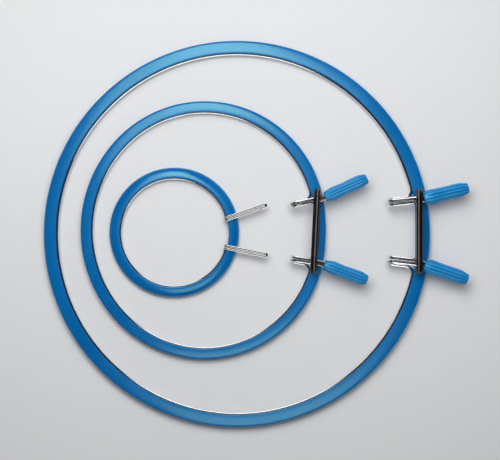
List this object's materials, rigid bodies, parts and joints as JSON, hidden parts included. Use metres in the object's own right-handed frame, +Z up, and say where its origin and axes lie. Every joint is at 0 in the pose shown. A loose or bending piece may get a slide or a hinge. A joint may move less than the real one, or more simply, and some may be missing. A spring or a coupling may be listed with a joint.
{
  "type": "spring embroidery hoop set",
  "caption": "Nesting blue plastic hoops with chrome spring-wire inner rings; pinched handles run through a slotted guide plate and close the wire so fabric can be set in or freed.",
  "frame": {"origin": "centre of the whole set's footprint, on the surface it lies on", "axes": "+Z up, out of the hoops' plane; +X from the rings towards their handles"},
  "size_m": [0.2953, 0.269, 0.0193],
  "materials": {
    "blue_plastic": "satin gloss",
    "grip_plastic": "satin gloss, fluted",
    "guide_plastic": "gloss",
    "spring_wire": "polished"
  },
  "bodies": {
    "large_ring": {"large_outer_ring": "blue_plastic"},
    "large_spring": {"large_spring_back": "spring_wire"},
    "large_upper_arm": {"large_spring_upper": "spring_wire", "large_upper_grip": "grip_plastic"},
    "large_lower_arm": {"large_spring_lower": "spring_wire", "large_lower_grip": "grip_plastic"},
    "large_guide": {"large_guide_plate": "guide_plastic"},
    "medium_hoop": {"medium_outer_ring": "blue_plastic", "medium_spring_back": "spring_wire"},
    "medium_upper_arm": {"medium_spring_upper": "spring_wire", "medium_upper_grip": "grip_plastic"},
    "medium_lower_arm": {"medium_spring_lower": "spring_wire", "medium_lower_grip": "grip_plastic"},
    "medium_guide": {"medium_guide_plate": "guide_plastic"},
    "small_ring": {"small_outer_ring": "blue_plastic"},
    "small_spring": {"small_spring_back": "spring_wire"},
    "small_upper_arm": {"small_spring_upper": "spring_wire"},
    "small_lower_arm": {"small_spring_lower": "spring_wire"}
  },
  "joints": [
    {"name": "medium_hoop_lift", "type": "slide", "parent": "large_ring", "child": "medium_hoop", "axis": [0, 0, 1], "range_m": [0, 0.06]},
    {"name": "small_hoop_lift", "type": "slide", "parent": "large_ring", "child": "small_ring", "axis": [0, 0, 1], "range_m": [0, 0.06]},
    {"name": "large_spring_turn", "type": "hinge", "parent": "large_ring", "child": "large_spring", "pos_m": [-0.01316, 0, 0.0042], "axis": [0, 0, 1], "range_deg": [-90, 90]},
    {"name": "small_spring_turn", "type": "hinge", "parent": "small_ring", "child": "small_spring", "pos_m": [-0.05688, 0.00106, 0.0036], "axis": [0, 0, 1], "range_deg": [-90, 90]},
    {"name": "large_squeeze", "type": "hinge", "parent": "large_spring", "child": "large_upper_arm", "pos_m": [-0.10112, 0.08811, 0.0042], "axis": [0, 0, -1], "range_deg": [0, 4.5], "stiffness_Nm_per_rad": 1.16, "springref_deg": -17.19},
    {"name": "large_squeeze_lower", "type": "hinge", "parent": "large_spring", "child": "large_lower_arm", "pos_m": [-0.09815, -0.09098, 0.0042], "axis": [0, 0, 1], "range_deg": [0, 4.5], "stiffness_Nm_per_rad": 1.16, "springref_deg": -17.19},
    {"name": "large_guide_slide", "type": "slide", "parent": "large_spring", "child": "large_guide", "axis": [-1, 0, 0], "range_m": [0, 0.006]},
    {"name": "medium_squeeze", "type": "hinge", "parent": "medium_hoop", "child": "medium_upper_arm", "pos_m": [-0.09129, 0.05954, 0.0038], "axis": [0, 0, -1], "range_deg": [0, 7], "stiffness_Nm_per_rad": 1.19, "springref_deg": -17.19},
    {"name": "medium_squeeze_lower", "type": "hinge", "parent": "medium_hoop", "child": "medium_lower_arm", "pos_m": [-0.09129, -0.05436, 0.0038], "axis": [0, 0, 1], "range_deg": [0, 7], "stiffness_Nm_per_rad": 1.19, "springref_deg": -17.19},
    {"name": "medium_guide_slide", "type": "slide", "parent": "medium_hoop", "child": "medium_guide", "axis": [-1, 0, 0], "range_m": [0, 0.0045]},
    {"name": "small_squeeze", "type": "hinge", "parent": "small_spring", "child": "small_upper_arm", "pos_m": [-0.08232, 0.02786, 0.0036], "axis": [0, 0, -1], "range_deg": [0, 6], "stiffness_Nm_per_rad": 2.5, "springref_deg": -17.19},
    {"name": "small_squeeze_lower", "type": "hinge", "parent": "small_spring", "child": "small_lower_arm", "pos_m": [-0.08278, -0.0253, 0.0036], "axis": [0, 0, 1], "range_deg": [0, 6], "stiffness_Nm_per_rad": 2.5, "springref_deg": -17.19}
  ],
  "couplings": [
    {"joint": "large_squeeze_lower", "follows": "large_squeeze", "ratio": 1},
    {"joint": "large_guide_slide", "follows": "large_squeeze", "m_per_rad": 0.0754},
    {"joint": "medium_squeeze_lower", "follows": "medium_squeeze", "ratio": 1},
    {"joint": "medium_guide_slide", "follows": "medium_squeeze", "m_per_rad": 0.036},
    {"joint": "small_squeeze_lower", "follows": "small_squeeze", "ratio": 1}
  ]
}
